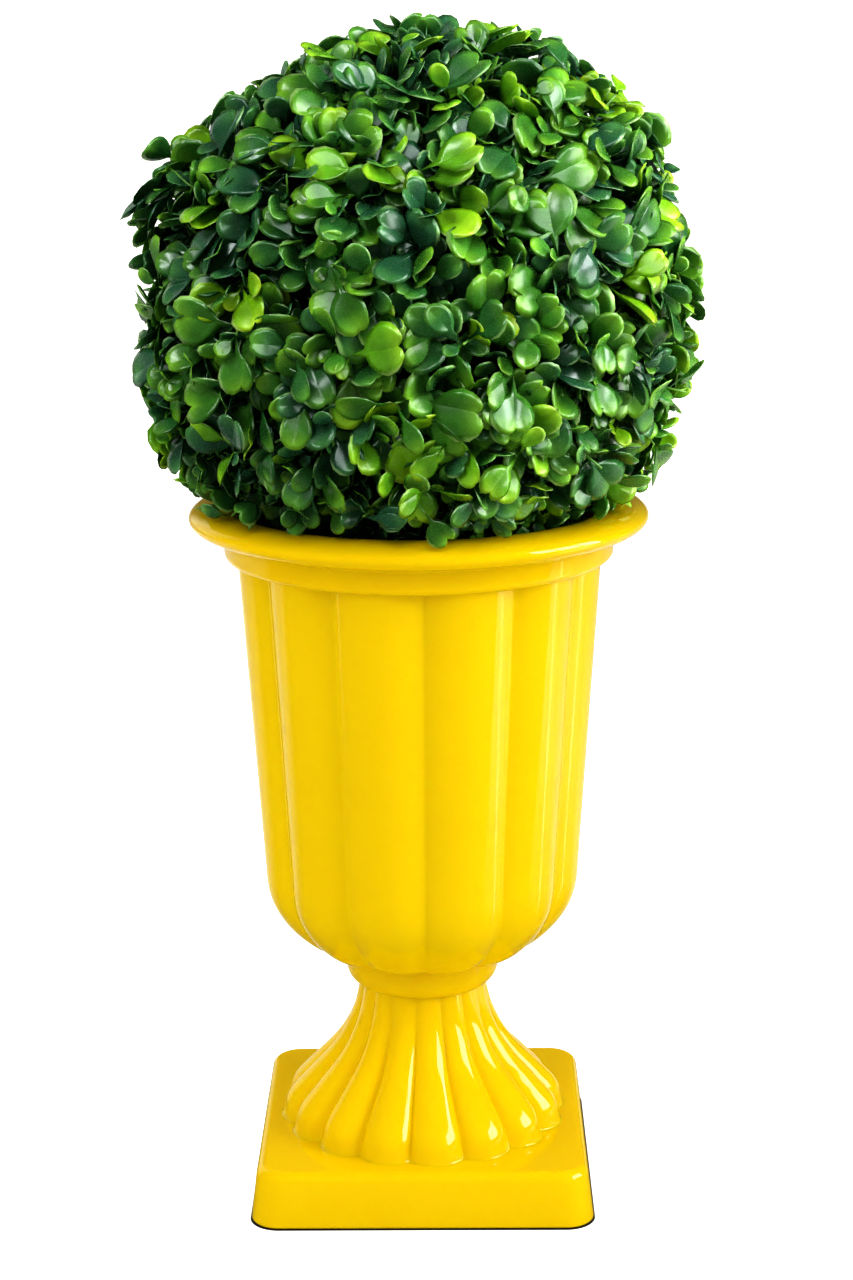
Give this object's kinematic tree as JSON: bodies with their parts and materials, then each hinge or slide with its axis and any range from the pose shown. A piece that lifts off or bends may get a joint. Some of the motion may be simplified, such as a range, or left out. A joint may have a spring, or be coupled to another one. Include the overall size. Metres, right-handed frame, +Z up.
{
  "type": "artificial ball topiary in urn planter",
  "caption": "Clipped ball of moulded box foliage on a short stem, set in the mouth of a fluted pedestal urn with a rolled lip and a square plinth.",
  "frame": {"origin": "middle of the flat underside of the square plinth", "axes": "+Z up along the urn's axis, -Y towards the front, +X to the right seen from the front"},
  "size_m": [0.382, 0.3761, 0.781],
  "materials": {
    "urn_plastic": "glossy moulded yellow plastic, slightly translucent",
    "filling": "dull dark brown filling",
    "stem_bark": "dull brown moulded stem",
    "foliage": "satin moulded leaves from dark blue-green to bright yellow-green"
  },
  "bodies": {
    "root": {"plinth": "urn_plastic", "foot": "urn_plastic", "collar": "urn_plastic", "bowl": "urn_plastic", "pot_fill": "filling", "stem": "stem_bark", "foliage_ball": "foliage"}
  },
  "joints": []
}
